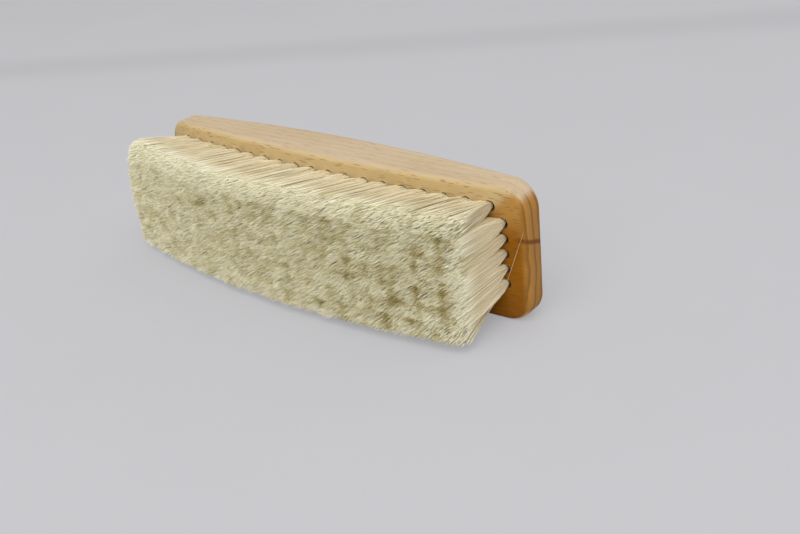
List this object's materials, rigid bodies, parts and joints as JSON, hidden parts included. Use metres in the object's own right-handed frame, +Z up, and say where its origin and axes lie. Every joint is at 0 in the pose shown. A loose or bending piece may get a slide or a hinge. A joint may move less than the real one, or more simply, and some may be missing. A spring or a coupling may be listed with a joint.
{
  "type": "shoe shine brush",
  "caption": "Wooden hand brush with an arched back and a dense field of light goat hair tufts, for shining shoes.",
  "frame": {"origin": "centre of the bounding box at the surface that the brush lies on, under its long side", "axes": "+X along the block, the hair points to -Y and the arched back to +Y, +Z up across the width of the block"},
  "size_m": [0.178, 0.0518, 0.048],
  "materials": {
    "beech": "satin",
    "goat_hair": "matte",
    "anchor_steel": "satin"
  },
  "bodies": {
    "root": {"block": "beech", "tuft_row_1": "goat_hair", "tuft_row_2": "goat_hair", "tuft_row_3": "goat_hair", "tuft_row_4": "goat_hair", "tuft_row_5": "goat_hair", "tuft_row_6": "goat_hair", "tuft_row_7": "goat_hair", "anchor_row_1": "anchor_steel", "anchor_row_2": "anchor_steel", "anchor_row_3": "anchor_steel", "anchor_row_4": "anchor_steel", "anchor_row_5": "anchor_steel", "anchor_row_6": "anchor_steel", "anchor_row_7": "anchor_steel"}
  },
  "joints": []
}
